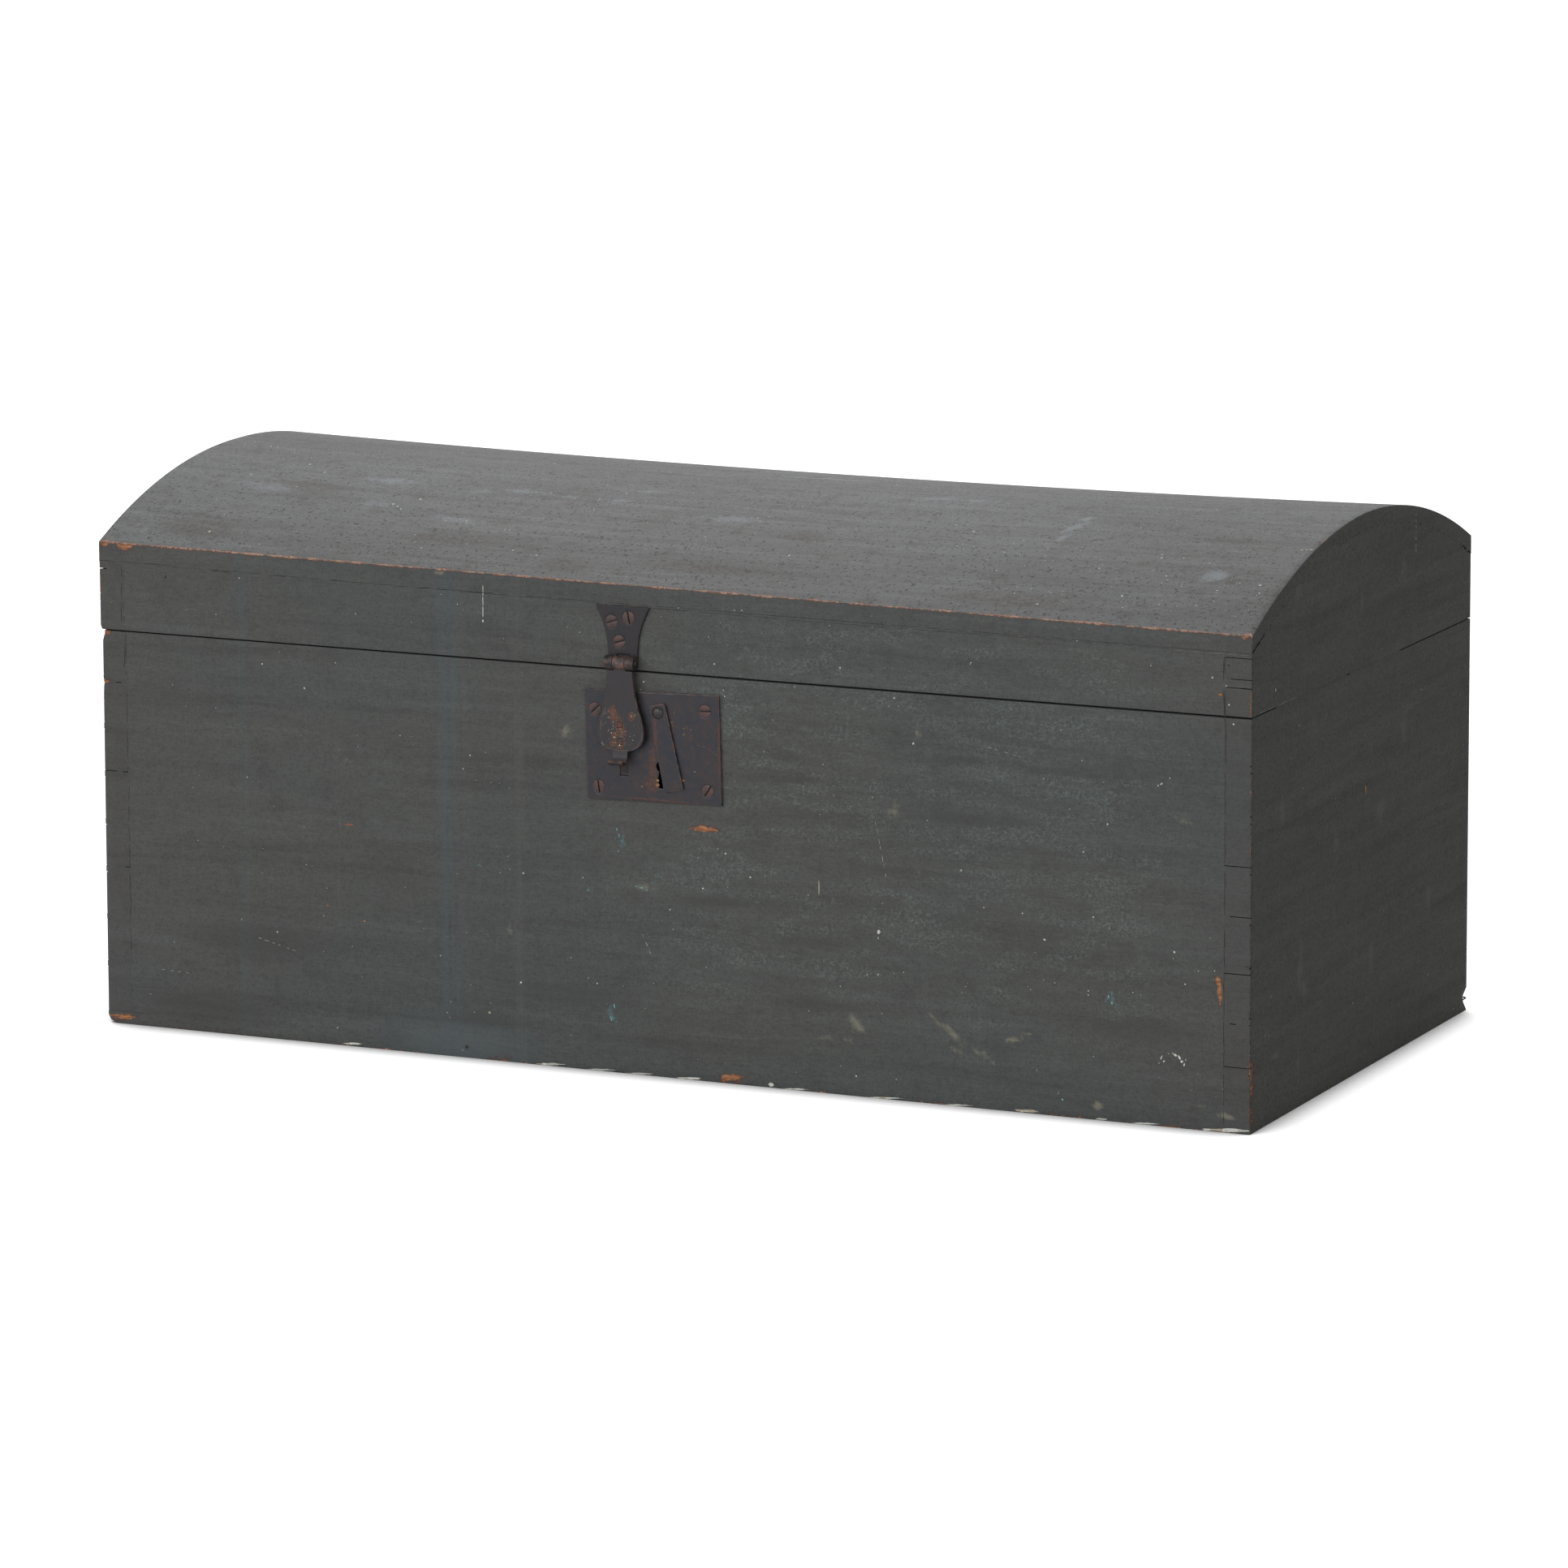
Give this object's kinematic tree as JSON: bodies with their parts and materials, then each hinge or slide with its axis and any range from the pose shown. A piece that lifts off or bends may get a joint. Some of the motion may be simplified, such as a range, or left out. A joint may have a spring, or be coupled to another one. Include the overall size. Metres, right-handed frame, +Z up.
{
  "type": "dome top trunk",
  "caption": "Low wooden trunk with dovetailed corners, an arched lid on back hinges, an iron hasp with a pear-shaped strap, and a plate lock with a swinging keyhole cover.",
  "frame": {"origin": "centre of the underside, on the surface that the trunk stands on", "axes": "+X along the front towards its right end as seen from the front, -Y out of the front, +Z up"},
  "size_m": [0.711, 0.3627, 0.3185],
  "materials": {
    "painted_wood": "old dark grey paint with a green cast over pine, worn to bare wood on the edges",
    "black_iron": "blackened sheet iron, rubbed, with rust freckles",
    "rusty_iron": "rusted iron screw with a worn slot",
    "bare_iron": "bare iron, dull, with a brown film",
    "nail_iron": "dark iron nail, sunk under the paint"
  },
  "bodies": {
    "case": {"front_board": "painted_wood", "back_board": "painted_wood", "left_end_board": "painted_wood", "right_end_board": "painted_wood", "bottom_board": "painted_wood", "bottom_nail_1": "nail_iron", "bottom_nail_2": "nail_iron", "bottom_nail_3": "nail_iron", "bottom_nail_4": "nail_iron", "bottom_nail_5": "nail_iron", "bottom_nail_6": "nail_iron", "lock_plate": "black_iron", "lock_plate_screw_1": "rusty_iron", "lock_plate_screw_2": "rusty_iron", "lock_plate_screw_3": "rusty_iron", "lock_plate_screw_4": "rusty_iron", "lock_case": "bare_iron", "lock_case_rivet_1": "bare_iron", "lock_case_rivet_2": "bare_iron", "key_pin": "bare_iron", "bolt_keeper_1": "bare_iron", "bolt_keeper_2": "bare_iron", "bolt_spring": "bare_iron", "keyhole_cover_rivet": "black_iron", "left_hinge_lower_leaf": "black_iron", "left_hinge_pin": "bare_iron", "left_lower_hinge_screw_1": "rusty_iron", "left_lower_hinge_screw_2": "rusty_iron", "right_hinge_lower_leaf": "black_iron", "right_hinge_pin": "bare_iron", "right_lower_hinge_screw_1": "rusty_iron", "right_lower_hinge_screw_2": "rusty_iron"},
    "lid": {"lid_front_rail": "painted_wood", "lid_back_rail": "painted_wood", "lid_left_end": "painted_wood", "lid_right_end": "painted_wood", "dome_board": "painted_wood", "dome_nail_1": "nail_iron", "dome_nail_2": "nail_iron", "dome_nail_3": "nail_iron", "dome_nail_4": "nail_iron", "dome_nail_5": "nail_iron", "dome_nail_6": "nail_iron", "dome_nail_7": "nail_iron", "dome_nail_8": "nail_iron", "left_hinge_upper_leaf": "black_iron", "left_upper_hinge_screw_1": "rusty_iron", "left_upper_hinge_screw_2": "rusty_iron", "right_hinge_upper_leaf": "black_iron", "right_upper_hinge_screw_1": "rusty_iron", "right_upper_hinge_screw_2": "rusty_iron", "hasp_leaf": "black_iron", "hasp_leaf_screw_1": "rusty_iron", "hasp_leaf_screw_2": "rusty_iron", "hasp_leaf_screw_3": "rusty_iron", "hasp_pin": "bare_iron"},
    "hasp": {"hasp_strap": "black_iron", "hasp_staple": "black_iron"},
    "keyhole_cover": {"keyhole_cover": "black_iron"},
    "lock_bolt": {"lock_bolt": "bare_iron"}
  },
  "joints": [
    {"name": "lid_hinge", "type": "hinge", "parent": "case", "child": "lid", "pos_m": [0, 0.1748, 0.23125], "axis": [-1, 0, 0], "range_deg": [0, 110]},
    {"name": "hasp_hinge", "type": "hinge", "parent": "lid", "child": "hasp", "pos_m": [-0.0215, -0.1752, 0.236], "axis": [-1, 0, 0], "range_deg": [0, 165]},
    {"name": "keyhole_cover_pivot", "type": "hinge", "parent": "case", "child": "keyhole_cover", "pos_m": [0.00063, -0.1732, 0.209], "axis": [0, 1, 0], "range_deg": [-80, 36]},
    {"name": "lock_bolt_slide", "type": "slide", "parent": "case", "child": "lock_bolt", "axis": [-0.9997, 0, -0.0236], "range_m": [0, 0.0075]}
  ]
}
